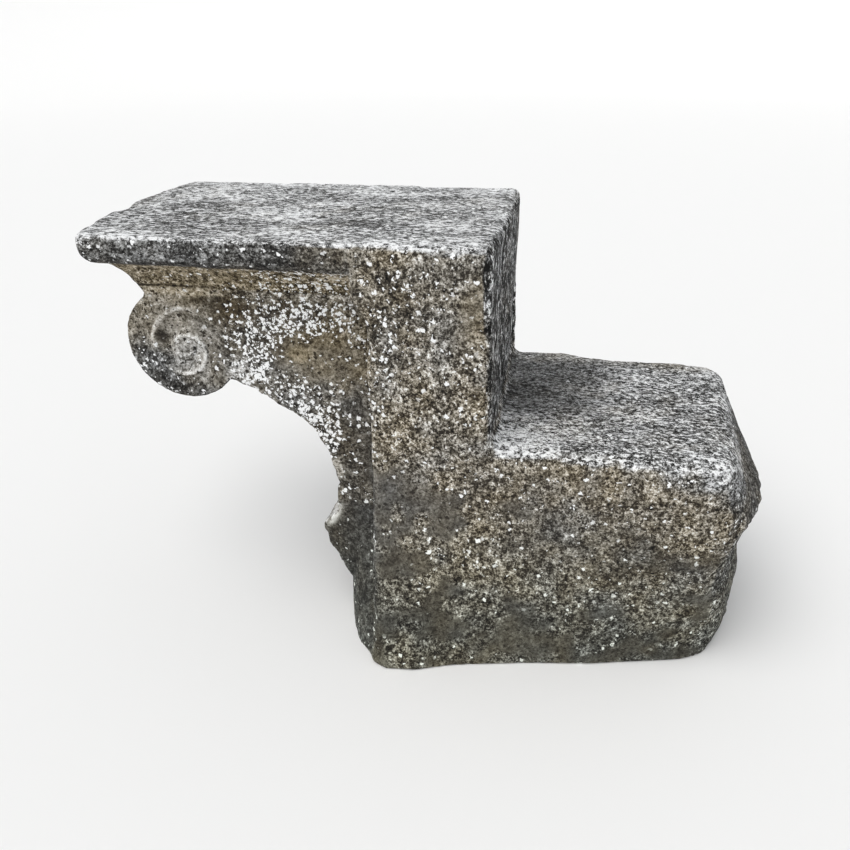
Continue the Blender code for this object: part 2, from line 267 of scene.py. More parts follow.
FOOT_FRONT = Look(0.25, 0.09, 0.16, 0.02)
ROLL = Look(0.27, 0.20, 0.08, 0.09, 0.42)
# Painted shade along the roll's lower edge, where it turns under.
ROLL_UNDERSIDE_SHADE = Look(0.16, 0.13, 0.20, 0.03, 0.08)
ROLL_BY_BLOCK = Look(0.32, 0.18, 0.50, 0.05, 0.20)
# Painted shade on faces that point down, laid as a darker look.
UNDERSIDE_SHADE = Look(0.28, 0.12, 0.45, 0.04)
BLOCK_BACK = Look(0.22, 0.30, 0.14, 0.01)
TAIL_END = Look(0.33, 0.30, 0.26, 0.03)
TAIL_END_TOP = Look(0.42, 0.25, 0.12, 0.03, 0.70)
TAIL_KNOB = Look(0.27, 0.20, 0.28, 0.01)
STEM_FRONT = Look(0.28, 0.13, 0.22, 0.05)
TOP = Look(0.45, 0.20, 0.04, 0.02, 0.95)
TOP_FAR = Look(0.68, 0.15, 0.0, 0.02, 1.0)
TOP_NEAR = Look(0.55, 0.22, 0.02, 0.03, 1.0)
SEAT = Look(0.42, 0.27, 0.08, 0.02, 1.0)
SEAT_BY_BLOCK = Look(0.29, 0.18, 0.10, 0.01, 0.40)
SEAT_NEAR = Look(0.53, 0.27, 0.16, 0.03, 1.0)
SEAT_FAR = Look(0.46, 0.26, 0.36, 0.04, 0.60)
LEDGE = Look(0.46, 0.13, 0.12, 0.02, 0.3)
LEDGE_NEAR = Look(0.92, 0.06, 0.10, 0.0, 0.2)
FAR_VOLUTE = Look(0.43, 0.14, 0.46, 0.05)
# Painted highlight along the spiral's crest.
CREST_HIGHLIGHT = Look(0.92, 0.08, 0.42, 0.0)
DENSE_SPOTS = Look(0.27, 0.11, 0.45, 1.0)


@dataclass(frozen=True)
class Patch:
    """A soft oval area on the near side, in X and Z, that has weathered in its own way."""

    centre: tuple[float, float]
    reach: tuple[float, float]
    turn: float
    look: Look

    def weight(self, points: Points, wander: Values) -> Values:
        """How much of the patch each point has: a bell 1 / (1 + r^6), r being 1 on the oval.

        Args:
            points: Rows of X, Y and Z.
            wander: How far the patch's edge strays at each point, less in a small patch.

        Returns:
            Shares from 0 to 1.
        """
        stray = wander * min(1.0, min(self.reach) / SMALL_PATCH)
        x = points[:, 0] + stray - self.centre[0]
        z = points[:, 2] + STRAY_RISE * stray - self.centre[1]
        cosine, sine = math.cos(math.radians(self.turn)), math.sin(math.radians(self.turn))
        along = (x * cosine + z * sine) / self.reach[0]
        across = (z * cosine - x * sine) / self.reach[1]
        return 1.0 / (1.0 + (along ** 2 + across ** 2) ** 3)


@dataclass(frozen=True)
class Spiral:
    """The ridge carved on the volute's sides, which winds out from an eye.

    Its radius is start * e^(growth * turn), with the turn in radians. It shows up to the outer
    radius, and the least radius keeps the logarithm finite at the eye.
    """

    eye_x: float = -0.307
    eye_z: float = 0.498
    start: float = 0.0188
    growth: float = 0.165
    outer: float = 0.068
    least: float = 0.002

    def polar(self, points: Points) -> tuple[Values, Values]:
        """Each point's distance from the eye, and its turn clockwise from the nose side.

        Args:
            points: Rows of X, Y and Z.

        Returns:
            Metres and radians from 0 to 2 pi.
        """
        x, z = points[:, 0] - self.eye_x, points[:, 2] - self.eye_z
        return np.hypot(x, z), np.mod(np.arctan2(z, -x), 2.0 * math.pi)

    def wound(self, radius: Values) -> Values:
        """How far the ridge has wound out at a radius, in radians: ln(radius / start) / growth."""
        return np.log(np.maximum(radius, self.least) / self.start) / self.growth

    def between(self, points: Points) -> Values:
        """Where each point lies from one turn of the ridge, 0, to the next, 1.

        Args:
            points: Rows of X, Y and Z.

        Returns:
            Shares from 0 to 1.
        """
        radius, turn = self.polar(points)
        return np.mod((self.wound(radius) - turn) / (2.0 * math.pi), 1.0)

    def ridge(self, points: Points, width: float) -> Values:
        """How near each point lies to the ridge: e^-(gap / width)^2, for the turns that still show.

        Args:
            points: Rows of X, Y and Z.
            width: The gap at which the value has sunk to a third.

        Returns:
            Shares from 0 to 1.
        """
        radius, _ = self.polar(points)
        between = self.between(points)
        gap = radius * 2.0 * math.pi * self.growth * np.minimum(between, 1.0 - between)
        shown = rise(radius, 0.012, 0.018) * rise(radius, self.outer + 0.006, self.outer)
        return np.exp(-(gap / width) ** 2) * shown

    def pale(self, points: Points) -> Values:
        """How strong the painted highlight on the ridge's crest is, by how many degrees it has wound
        out from the eye.

        Args:
            points: Rows of X, Y and Z.

        Returns:
            Shares from 0 to 1.
        """
        radius, _ = self.polar(points)
        wound = np.degrees(self.wound(radius))
        inner = band(wound, 10.0, 285.0, 50.0) * (0.55 + 0.45 * band(wound, 165.0, 285.0, 60.0))
        outer = 0.75 * band(wound, 368.0, 480.0, 40.0)
        return 0.12 + inner + outer


@dataclass
class Skin:
    """The stone's surface as arrays: its vertices, their normals and its edges."""

    points: Points
    normals: Points
    edges: np.ndarray

    @classmethod
    def of_mesh(cls, mesh: bpy.types.Mesh) -> "Skin":
        """Reads a mesh.

        Args:
            mesh: The mesh to read.

        Returns:
            Its surface.
        """
        count = len(mesh.vertices)
        points = np.empty(count * 3)
        mesh.vertices.foreach_get("co", points)
        normals = np.empty(count * 3)
        mesh.vertices.foreach_get("normal", normals)
        edges = np.empty(len(mesh.edges) * 2, np.int32)
        mesh.edges.foreach_get("vertices", edges)
        return cls(points.reshape(-1, 3), normals.reshape(-1, 3), edges.reshape(-1, 2))

    def smoothed(self, values: np.ndarray, times: int) -> np.ndarray:
        """Averages each vertex with its neighbours: half its own value, half their mean.

        Args:
            values: One row for each vertex.
            times: How often.

        Returns:
            The smoothed rows.
        """
        one, other = self.edges.T
        count = len(self.points)
        share = np.bincount(one, minlength=count) + np.bincount(other, minlength=count)
        columns = values.reshape(count, -1).T.copy()
        for _ in range(times):
            for index, column in enumerate(columns):
                around = np.bincount(one, column[other], count)
                around = around + np.bincount(other, column[one], count)
                columns[index] = 0.5 * column + 0.5 * around / share
        return columns.T.reshape(values.shape)

    def swell(self, times: int) -> Values:
        """How far each vertex stands out from its smoothed surroundings, in metres."""
        return ((self.points - self.smoothed(self.points, times)) * self.normals).sum(axis=1)


@dataclass
class WeatheringAndPaintedLight:
    """The weathering layers of the skin, which also carry painted shade and highlights, and the looks
    laid over them one after another.
    """

    layers: dict[Zone, Values]

    @classmethod
    def bare(cls, count: int) -> "WeatheringAndPaintedLight":
        """The bare block's look on a number of vertices."""
        return cls({zone: np.full(count, share) for zone, share in BARE_BLOCK.shares().items()})

    def lay(self, weight: Values, look: Look) -> None:
        """Blends one look over the layers by a weight."""
        for zone, share in look.shares().items():
            self.layers[zone] += (share - self.layers[zone]) * np.clip(weight, 0.0, 1.0)


class Areas:
    """Which areas of the stone each vertex belongs to, as shares from 0 to 1.

    The strayed X and Z are off by up to 2 cm, by a smooth noise, so that no area ends in a line.
    """

    def __init__(self, stone: "CorbelStone", skin: Skin) -> None:
        """Finds the areas.

        Args:
            stone: The stone's sizes.
            skin: Its finished skin.
        """
        p = skin.points
        slab_low, roll_low = stone.slab_low, stone.roll_low
        self.points = p
        self.x, self.y, self.z = p.T
        self.nx, ny, self.nz = skin.normals.T
        self.wander = summed(stone.stray, p)
        self.strayed_x = self.x + self.wander
        self.strayed_z = self.z + STRAY_RISE * self.wander
        self.near = rise(self.y + 2.5 * self.wander, 0.05, -0.06)
        self.side = rise(np.abs(ny), 0.35, 0.7)
        self.up = rise(self.nz, 0.45, 0.8)
        ahead = rise(self.x, -0.004, -0.016)
        self.beyond_stop = rise(self.x, -0.018, -0.026)
        self.slab = self.beyond_stop * rise(self.z, slab_low + 0.014, slab_low + 0.020)
        self.below = ahead * (1.0 - rise(self.z, slab_low - 0.004, slab_low + 0.004))
        fan_top = rise(self.z, slab_low + 0.022, slab_low + 0.012)
        self.fan = ahead * rise(self.strayed_z, slab_low - 0.105, slab_low - 0.050) * fan_top
        self.roll = self.slab * rise(self.z, roll_low + 0.001, roll_low + 0.006)
        self.top = self.up * rise(self.z, stone.height - 0.02, stone.height - 0.006)
        self.seat = self.up * band(self.z, stone.seat - 0.03, stone.seat + 0.03, 0.02)
        self.ledge = self.up * self.below * rise(self.z, 0.24, 0.20)
        self.disc = stone.disc(skin)


@dataclass
class CorbelStone:
    """The one carved stone: its pitted and chipped skin, its carving, and its weathering with painted
    shade and highlights.
    """

    node: str = "corbel_stone"
    voxel: float = 0.0060
    height: float = 0.690
    block_end: float = 0.181
    seat: float = 0.388
    slab_depth: float = 0.104
    roll_depth: float = 0.047
    volute_x: float = -0.316
    volute_z: float = 0.504
    volute_radius: float = 0.0905
    spiral: Spiral = Spiral()
    crest_height: float = 0.0014
    channel_depth: float = 0.0018
    nick_depth: float = 0.006
    nick_centre: tuple[float, float] = (-0.190, 0.437)
    nick_reach: tuple[float, float] = (0.010, 0.009)
    notch_depth: float = 0.005
    notch_centre: tuple[float, float] = (-0.452, -0.02)
    notch_reach: tuple[float, float] = (0.016, 0.03)
    step_depth: float = 0.005
    step_low: float = 0.268
    step_high: float = 0.279
    tail_arris_loss: float = 0.0060
    back_arris_loss: float = 0.012
    waves: tuple = ((0.0020, LatticeNoise(11, 0.085)), (0.0015, LatticeNoise(12, 0.036)),
                    (0.0011, LatticeNoise(13, 0.016)))
    pits: tuple = ((0.0030, Pits(31, 0.028, 0.22)), (0.0020, Pits(41, 0.014, 0.30)))
    chips: tuple = ((0.0060, LatticeNoise(21, 0.048), 0.10, 0.75),
                    (0.0028, LatticeNoise(22, 0.021), 0.05, 0.70))
    ragged: tuple = ((1.0, LatticeNoise(23, 0.030, (1.0, 2.0, 1.0))), (0.5, LatticeNoise(24, 0.013)))
    stray: tuple = ((0.012, LatticeNoise(51, 0.03)), (0.008, LatticeNoise(52, 0.012)))
    crust: tuple = ((1.0, LatticeNoise(61, 0.046, (1.3, 1.0, 0.8))), (0.5, LatticeNoise(62, 0.020)))
    tone_drift: tuple = ((0.05, LatticeNoise(53, 0.11)), (0.035, LatticeNoise(54, 0.045)))
    warmth_drift: tuple = ((0.16, LatticeNoise(55, 0.09)), (0.16, LatticeNoise(56, 0.028)))

    @property
    def slab_low(self) -> float:
        """How high the slab's moulding ends above the bed."""
        return self.height - self.slab_depth

    @property
    def roll_low(self) -> float:
        """How high the slab's roll ends above the bed."""
        return self.height - self.roll_depth

    def from_volute(self, x: Values, z: Values) -> Values:
        """Each vertex's distance from the volute's axis."""
        return np.hypot(x - self.volute_x, z - self.volute_z)

    def disc(self, skin: Skin) -> Values:
        """How far inside the volute's carved sides each vertex lies.

        Args:
            skin: The stone's skin.

        Returns:
            Shares from 0 to 1.
        """
        x, y, z = skin.points.T
        radius = self.volute_radius
        inside = rise(self.from_volute(x, z), radius - 0.002, radius - 0.008)
        return inside * rise(np.abs(y), 0.138, 0.144)

    def welded_solid(self) -> bpy.types.Object:
        """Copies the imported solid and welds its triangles.

        Returns:
            The copy, an object of its own.
        """
        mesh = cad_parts[self.node].data.copy()
        build = bmesh.new()
        build.from_mesh(mesh)
        bmesh.ops.remove_doubles(build, verts=build.verts, dist=0.00002)
        build.to_mesh(mesh)
        build.free()
        mesh.materials.clear()
        solid = bpy.data.objects.new("welded_solid", mesh)
        bpy.context.scene.collection.objects.link(solid)
        return solid

    @staticmethod
    def settle(thing: bpy.types.Object) -> None:
        """Replaces an object's mesh by what its modifiers make of it.

        Args:
            thing: The object, which loses its modifiers.
        """
        graph = bpy.context.evaluated_depsgraph_get()
        made = bpy.data.meshes.new_from_object(thing.evaluated_get(graph))
        thing.modifiers.clear()
        thing.data = made

    def fine_faces(self, points: Points, normals: Points) -> np.ndarray:
        """Which places carry mouldings or the volute's carving, and need smaller faces.

        Args:
            points: Rows of X, Y and Z.
            normals: Their normals.

        Returns:
            True at each such place.
        """
        x, y, z = points.T
        moulded = (z > self.slab_low - 0.012) & (normals[:, 2] < 0.6)
        moulding = (x < 0.002) & moulded & (np.abs(y) > 0.10)
        nose = (x < -0.36) & moulded
        disc = self.from_volute(x, z) < self.volute_radius + 0.008
        return moulding | nose | (disc & (np.abs(y) > 0.13))

    def even_copy(self) -> bpy.types.Object:
        """Gives the solid an even skin of small squares, quartered on the carving, and fits it.

        Returns:
            The skin, an object of its own.
        """
        solid = self.welded_solid()
        stone = bpy.data.objects.new("weathered_stone", solid.data.copy())
        bpy.context.scene.collection.objects.link(stone)
        even = stone.modifiers.new("Even skin", "REMESH")
        even.mode = "VOXEL"
        even.voxel_size = self.voxel
        self.settle(stone)
        skin = Skin.of_mesh(stone.data)
        middles = skin.points[skin.edges].mean(axis=1)
        chosen = self.fine_faces(middles, skin.normals[skin.edges].mean(axis=1))
        build = bmesh.new()
        build.from_mesh(stone.data)
        build.edges.ensure_lookup_table()
        fine = [build.edges[index] for index in np.flatnonzero(chosen)]
        bmesh.ops.subdivide_edges(build, edges=fine, cuts=1, use_grid_fill=True)
        build.to_mesh(stone.data)
        build.free()
        laid = stone.modifiers.new("Laid on the solid", "SHRINKWRAP")
        laid.target = solid
        laid.wrap_method = "NEAREST_SURFACEPOINT"
        self.settle(stone)
        bpy.data.objects.remove(solid, do_unlink=True)
        return stone

    def level(self, skin: Skin) -> Values:
        """How level and upward each vertex of the top and the seat is.

        Args:
            skin: The stone's skin.

        Returns:
            Shares from 0 to 1.
        """
        z = skin.points[:, 2]
        top = rise(z, self.height - 0.006, self.height - 0.001)
        seat = band(z, self.seat - 0.004, self.seat + 0.004, 0.004)
        return np.maximum(top, seat) * rise(skin.normals[:, 2], 0.75, 0.95)

    def relief(self, skin: Skin) -> Values:
        """How far weathering moves each vertex along its normal.

        Waves at three sizes, chips and rounding where the skin stands out, and pits. The level
        faces only sink, and the underside stays flat.

        Args:
            skin: The even skin.

        Returns:
            Distances in metres, outwards positive.
        """
        p = skin.points
        x, _, z = p.T
        arris = rise(skin.swell(14), 0.0008, 0.0040)
        volute = rise(self.from_volute(x, z), 0.105, 0.085)
        rough = 0.65 + 0.5 * rise(z, 0.42, 0.15) + 0.7 * rise(x, 0.42, 0.54)
        rough = rough * (1.0 - 0.5 * volute)
        pits = summed(self.pits, p)
        chips = sum(depth * rise(noise.at(p), low, high) for depth, noise, low, high in self.chips)
        moved = rough * (summed(self.waves, p) - pits) - arris * chips * (1.0 - 0.6 * volute)
        level = self.level(skin)
        sunk = -0.0006 - 0.0006 * LatticeNoise(14, 0.012).at(p) - 0.5 * pits
        moved = moved * (1.0 - level) + np.minimum(sunk, 0.0) * level
        return moved * rise(z, 0.0, 0.012)

    def volute_carving(self, skin: Skin) -> Values:
        """The spiral's crest, and the channel cut between its turns.

        Args:
            skin: The even skin.

        Returns:
            Distances in metres, outwards positive.
        """
        p = skin.points
        radius, _ = self.spiral.polar(p)
        cut = rise(radius, 0.016, 0.022) * rise(radius, 0.072, 0.062)
        channel = (1.0 - self.spiral.ridge(p, 0.008)) * cut
        crest = self.crest_height * self.spiral.ridge(p, 0.004)
        return self.disc(skin) * (crest - self.channel_depth * channel)

    def losses(self, skin: Skin) -> Values:
        """How deep the losses go that stand out in the photograph.

        A nick beside the volute, a notch in the nose, a step above the broken ledge, the tail's
        ragged arrises, and the block's far back arris.

        Args:
            skin: The even skin.

        Returns:
            Depths in metres.
        """
        p = skin.points
        x, y, z = p.T
        nick = dent(x, z, self.nick_centre, self.nick_reach)
        notch = dent(x, y, self.notch_centre, self.notch_reach)
        notch = notch * rise(z, self.height - 0.05, self.height - 0.02)
        step = band(z, self.step_low, self.step_high, 0.006)
        step = step * rise(x, -0.05, -0.062) * rise(x, -0.10, -0.09)
        tail = rise(skin.swell(14), 0.0010, 0.0040) * rise(x, 0.20, 0.23) * rise(z, 0.30, 0.34)
        tail = tail * rise(summed(self.ragged, p), -0.1, 0.8)
        back = rise(x, self.block_end + 0.04, self.block_end + 0.02)
        back = rise(skin.normals[:, 0], 0.5, 0.8) * rise(y, 0.04, 0.22) * back
        back = back * rise(z, self.height, self.seat + 0.04)
        back = back * rise(z, self.seat - 0.01, self.seat + 0.02)
        return (self.nick_depth * nick + self.notch_depth * notch + self.step_depth * step
                + self.tail_arris_loss * tail + self.back_arris_loss * back)

    def weather_sides(self, cover: WeatheringAndPaintedLight, at: Areas) -> None:
        """Lays the looks of the sides, which grow greyer and darker towards the bed.

        Args:
            cover: The layers.
            at: The stone's areas.
        """
        lower = at.side * rise(at.strayed_z, 0.30, 0.12)
        cover.lay(at.side * rise(at.strayed_x, self.block_end - 0.01, self.block_end + 0.03), TAIL_SIDE)
        cover.lay(lower, LOWER_SIDE)
        cover.lay(at.side * rise(at.strayed_z, 0.16, 0.04), FOOT_SIDE)
        cover.lay(lower * rise(at.strayed_x, 0.12, 0.0), LOWER_BLOCK)

    def weather_front(self, cover: WeatheringAndPaintedLight, at: Areas) -> None:
        """Lays the looks of the console, the slab's ochre band and the fan over the volute.

        Args:
            cover: The layers.
            at: The stone's areas.
        """
        cover.lay(at.below, CONSOLE)
        cover.lay(at.below * at.near, NEAR_CONSOLE)
        cover.lay(at.slab, OCHRE_BAND)
        cover.lay(at.slab * rise(at.strayed_x, -0.36, -0.40), NOSE_BAND)
        cover.lay(at.slab * at.near * rise(at.strayed_x, -0.23, -0.12), SPOTTED_BAND)
        cover.lay(at.fan * at.near * rise(at.strayed_x, -0.20, -0.25), OCHRE_FAN)
        cover.lay(at.fan * rise(at.nx, -0.2, -0.6) * rise(at.x, -0.30, -0.35), DRUM_FRONT)

    def weather_patches(self, cover: WeatheringAndPaintedLight, at: Areas) -> None:
        """Lays the smooth dark crust low on the sides, the foot's front and the near patches.

        Args:
            cover: The layers.
            at: The stone's areas.
        """
        p = at.points
        low = rise(at.strayed_z + 0.25 * at.strayed_x, 0.41, 0.33)
        cover.lay(at.side * low * rise(summed(self.crust, p), -0.08, 0.16), SMOOTH_CRUST)
        cover.lay(rise(at.strayed_x, 0.02, -0.025) * rise(at.strayed_z, 0.25, 0.225), FOOT_FRONT)
        for patch in PATCHES:
            face = at.side * at.below if patch.centre[0] < CONSOLE_END else at.side
            cover.lay(at.near * face * patch.weight(p, at.wander), patch.look)

    def weather_and_shade_ends(self, cover: WeatheringAndPaintedLight, at: Areas) -> None:
        """Lays the looks of the roll, the block's back, the tail's end and the stem, and paints shade
        on the roll's lower edge and on faces that point down.

        Args:
            cover: The layers.
            at: The stone's areas.
        """
        # Painted shade: the roll's lower edge is laid much darker.
        shade_low_on_roll = rise(at.z, self.roll_low + 0.017, self.roll_low + 0.004)
        cover.lay(at.roll, ROLL)
        cover.lay(at.roll * shade_low_on_roll, ROLL_UNDERSIDE_SHADE)
        cover.lay(at.roll * at.near * rise(at.strayed_x, -0.13, -0.05), ROLL_BY_BLOCK)
        # Painted shade: faces that point down are darkened, except on the slab's band.
        cover.lay(rise(at.nz, -0.35, -0.75) * (1.0 - at.slab), UNDERSIDE_SHADE)
        cover.lay(rise(at.nx, 0.55, 0.85) * rise(at.z, self.seat, self.seat + 0.03), BLOCK_BACK)
        end = rise(at.nx, 0.4, 0.8) * rise(at.x, 0.48, 0.54)
        cover.lay(end, TAIL_END)
        cover.lay(end * rise(at.strayed_z, 0.31, 0.35), TAIL_END_TOP)
        cover.lay(rise(at.x, 0.555, 0.572) * rise(at.z, 0.39, 0.35), TAIL_KNOB)
        cover.lay(rise(at.nx, -0.55, -0.85) * rise(at.z, 0.36, 0.30), STEM_FRONT)

    def weather_levels(self, cover: WeatheringAndPaintedLight, at: Areas) -> None:
        """Lays the looks of the top, the tail's seat and the broken ledge, paler at their arrises.

        Args:
            cover: The layers.
            at: The stone's areas.
        """
        by_block = rise(at.strayed_x, 0.42, 0.26) * rise(at.y, -0.10, -0.03)
        cover.lay(at.top, TOP)
        cover.lay(at.top * rise(at.y, 0.12, 0.21), TOP_FAR)
        cover.lay(at.top * at.near * rise(at.y, -0.13, -0.20), TOP_NEAR)
        cover.lay(at.seat, SEAT)
        cover.lay(at.seat * by_block, SEAT_BY_BLOCK)
        cover.lay(at.seat * at.near * rise(at.y, -0.09, -0.16), SEAT_NEAR)
        cover.lay(at.seat * rise(at.y, 0.14, 0.20), SEAT_FAR)
        cover.lay(at.ledge, LEDGE)
        cover.lay(at.ledge * at.near, LEDGE_NEAR)

    def weather_and_light_volute(self, cover: WeatheringAndPaintedLight, at: Areas) -> None:
        """Greys the far volute, paints a highlight along the spiral's crest and paints shade in the
        groove beside it.

        Args:
            cover: The layers.
            at: The stone's areas.
        """
        p = at.points
        # Painted highlight: the spiral's crest is laid pale, unevenly along its length.
        crest_highlight_unevenness = 0.90 + 0.50 * LatticeNoise(57, 0.007).at(p)
        crest = crest_highlight_unevenness * self.spiral.pale(p) * self.spiral.ridge(p, 0.0042)
        cover.lay(at.disc * (1.0 - at.near), FAR_VOLUTE)
        cover.lay(at.disc * (0.8 + 0.2 * at.near) * crest, CREST_HIGHLIGHT)
        # Painted shade: the groove beside the crest is darkened.
        radius, _ = self.spiral.polar(p)
        groove = band(self.spiral.between(p), 0.62, 0.88, 0.16) * rise(radius, 0.020, 0.026)
        cover.layers[Zone.TONE] -= 0.05 * at.disc * groove

    def shade(self, cover: WeatheringAndPaintedLight, at: Areas, skin: Skin) -> None:
        """Paints a highlight on what stands out and shade in hollows and along the band's lower line,
        and adds slow drifts.

        Args:
            cover: The layers, with every look laid.
            at: The stone's areas.
            skin: Its finished skin.
        """
        tone = cover.layers[Zone.TONE]
        # Painted highlight on what stands out, painted shade in hollows.
        out = skin.smoothed(skin.swell(10), 2)
        hollow_shade = rise(out, -0.0004, -0.0022) * (1.0 - 0.7 * at.disc)
        tone += 0.10 * rise(out, 0.0006, 0.0030) * (1.0 - at.top) - 0.12 * hollow_shade
        tone += summed(self.tone_drift, at.points)
        cover.layers[Zone.WARMTH] += summed(self.warmth_drift, at.points)
        # Painted shade: a thin dark line in the crease under the ochre band, darker towards the nose.
        line = band(at.z, self.slab_low + 0.0145, self.slab_low + 0.0185, 0.003) * at.beyond_stop
        tone -= (0.16 + 0.18 * rise(at.strayed_x, -0.22, -0.28)) * line
        cover.layers[Zone.DAMP] = rise(at.strayed_z, 0.34, 0.03) * (1.0 - at.up)
        back = rise(at.x, self.block_end + 0.06, self.block_end + 0.03)
        cover.layers[Zone.STREAK] = rise(at.nx, 0.5, 0.8) * back

    def weather_and_paint_light(self, skin: Skin) -> dict[Zone, Values]:
        """The weathering layers with their painted shade and highlights: each area's look, laid over
        the last with soft edges.

        Args:
            skin: The finished skin.

        Returns:
            One value for each vertex and layer.
        """
        at = Areas(self, skin)
        cover = WeatheringAndPaintedLight.bare(len(skin.points))
        self.weather_sides(cover, at)
        self.weather_front(cover, at)
        self.weather_patches(cover, at)
        self.weather_and_shade_ends(cover, at)
        self.weather_levels(cover, at)
        self.weather_and_light_volute(cover, at)
        self.shade(cover, at, skin)
        return cover.layers

    def build(self) -> bpy.types.Object:
        """Makes the stone's finished mesh, with its layers of weathering, painted shade and highlights.

        Returns:
            The stone, not yet dressed in its material.
        """
        stone = self.even_copy()
        skin = Skin.of_mesh(stone.data)
        outward = self.relief(skin) + self.volute_carving(skin) - self.losses(skin)
        low, high = (np.array(corner) for corner in CAD_BOX)
        moved = np.clip(skin.points + skin.normals * outward[:, None], low, high)
        moved[skin.points[:, 2] < 0.0006, 2] = 0.0
        stone.data.vertices.foreach_set("co", moved.ravel())
        stone.data.update()
        stone.data.shade_smooth()
        for zone, values in self.weather_and_paint_light(Skin.of_mesh(stone.data)).items():
            layer = stone.data.attributes.new(zone.value, "FLOAT", "POINT")
            layer.data.foreach_set("value", np.clip(values, 0.0, 1.0).astype(np.float32))
        return stone

    def make(self) -> bpy.types.Object:
        """Builds the stone, dresses it and puts it in the place of its solid."""
        stone = self.build()
        stone.data.materials.append(WeatheredLimestone().material())
        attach(stone, "root")
        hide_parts(self.node)
        return stone


# Patches of the near side, laid in this order, with their middle and reach in X and Z and their
# turn in degrees: the console, the volute, the block, the tail, and the ledge's broken end.
PATCHES = (
    Patch((-0.15, 0.575), (0.10, 0.028), 12, Look(0.33, 0.14, 0.60, 0.55)),
    Patch((-0.115, 0.545), (0.066, 0.028), 28, DENSE_SPOTS),
    Patch((-0.215, 0.485), (0.058, 0.046), 60, DENSE_SPOTS),
    Patch((-0.165, 0.520), (0.055, 0.034), 40, DENSE_SPOTS),
    Patch((-0.232, 0.456), (0.030, 0.030), 30, Look(0.74, 0.16, 0.46, 1.0)),
    Patch((-0.085, 0.490), (0.085, 0.040), -8, Look(0.38, 0.10, 0.66, 0.03)),
    Patch((-0.120, 0.500), (0.018, 0.012), 0, Look(0.47, 0.10, 0.90, 0.0)),
    Patch((-0.120, 0.395), (0.058, 0.037), -35, Look(0.31, 0.16, 0.35, 0.85)),
    Patch((-0.082, 0.345), (0.027, 0.034), -50, Look(0.32, 0.15, 0.35, 0.95)),
    Patch((-0.030, 0.370), (0.022, 0.090), 0, Look(0.30, 0.11, 0.40, 0.10)),
    Patch((-0.050, 0.300), (0.024, 0.050), 10, Look(0.30, 0.15, 0.34, 0.08)),
    Patch((-0.074, 0.302), (0.013, 0.019), 0, Look(0.70, 0.12, 0.40, 0.02)),
    Patch((-0.316, 0.504), (0.092, 0.092), 0, Look(0.45, 0.16, 0.44, 0.04)),
    Patch((-0.332, 0.594), (0.052, 0.026), 0, Look(0.59, 0.12, 0.68, 0.01)),
    Patch((-0.238, 0.580), (0.044, 0.025), -12, Look(0.23, 0.10, 0.72, 0.07)),
    Patch((-0.305, 0.530), (0.052, 0.038), 0, Look(0.60, 0.10, 0.50, 0.0)),
    Patch((-0.306, 0.489), (0.043, 0.037), 0, Look(0.74, 0.14, 0.42, 0.02)),
    Patch((-0.294, 0.462), (0.028, 0.016), -15, Look(0.66, 0.15, 0.40, 0.03)),
    Patch((-0.250, 0.438), (0.010, 0.022), 20, Look(0.76, 0.11, 0.55, 0.0)),
    Patch((-0.262, 0.470), (0.012, 0.040), 10, Look(0.42, 0.12, 0.55, 0.03)),
    Patch((-0.368, 0.458), (0.034, 0.044), 40, Look(0.33, 0.18, 0.22, 0.14)),
    Patch((-0.345, 0.517), (0.013, 0.009), -50, Look(0.24, 0.08, 0.40, 0.0)),
    Patch((-0.325, 0.428), (0.060, 0.012), -12, Look(0.30, 0.15, 0.25, 0.20)),
    Patch((0.045, 0.600), (0.060, 0.075), 0, Look(0.34, 0.23, 0.66, 0.15)),
    Patch((0.030, 0.520), (0.030, 0.050), 0, Look(0.40, 0.22, 0.40, 0.22)),
    Patch((0.155, 0.600), (0.020, 0.045), -15, Look(0.48, 0.13, 0.66, 0.01)),
    Patch((-0.017, 0.664), (0.008, 0.024), 0, Look(0.52, 0.14, 0.55, 0.03)),
    Patch((-0.050, 0.630), (0.024, 0.007), 0, Look(0.68, 0.14, 0.95, 0.05)),
    Patch((0.100, 0.430), (0.070, 0.100), 0, Look(0.49, 0.26, 0.56, 0.04)),
    Patch((0.300, 0.345), (0.110, 0.030), 0, Look(0.44, 0.20, 0.60, 0.05)),
    Patch((0.480, 0.300), (0.060, 0.070), 0, Look(0.49, 0.23, 0.52, 0.05)),
    Patch((0.330, 0.230), (0.110, 0.060), 0, Look(0.37, 0.19, 0.42, 0.03)),
    Patch((0.490, 0.366), (0.060, 0.016), 0, Look(0.48, 0.25, 0.25, 0.05, 0.6)),
    Patch((-0.085, 0.209), (0.025, 0.010), 58, Look(0.80, 0.05, 0.10, 0.0)),
)


class Socket:
    """A node's output that Python's operators can work on. Each operator adds a Math node."""

    def __init__(self, bench: "Bench", output: bpy.types.NodeSocket) -> None:
        """Keeps the output and the bench that it belongs to."""
        self.bench = bench
        self.output = output

    def _math(self, operation: str, first: object, second: object) -> "Socket":
        """One Math node on two sockets or numbers."""
        return self.bench.node("ShaderNodeMath", {"operation": operation}, {0: first, 1: second})

    def __add__(self, other: object) -> "Socket":
        """The sum."""
        return self._math("ADD", self, other)

    __radd__ = __add__

    def __sub__(self, other: object) -> "Socket":
        """The difference."""
        return self._math("SUBTRACT", self, other)

    def __rsub__(self, other: object) -> "Socket":
        """The reflected difference."""
        return self._math("SUBTRACT", other, self)

    def __mul__(self, other: object) -> "Socket":
        """The product."""
        return self._math("MULTIPLY", self, other)

    __rmul__ = __mul__

    def rise(self, low: float, high: float) -> "Socket":
        """A smooth step from 0 at low to 1 at high."""
        smooth = {"interpolation_type": "SMOOTHSTEP"}
        return self.bench.node("ShaderNodeMapRange", smooth, {0: self, 1: low, 2: high})


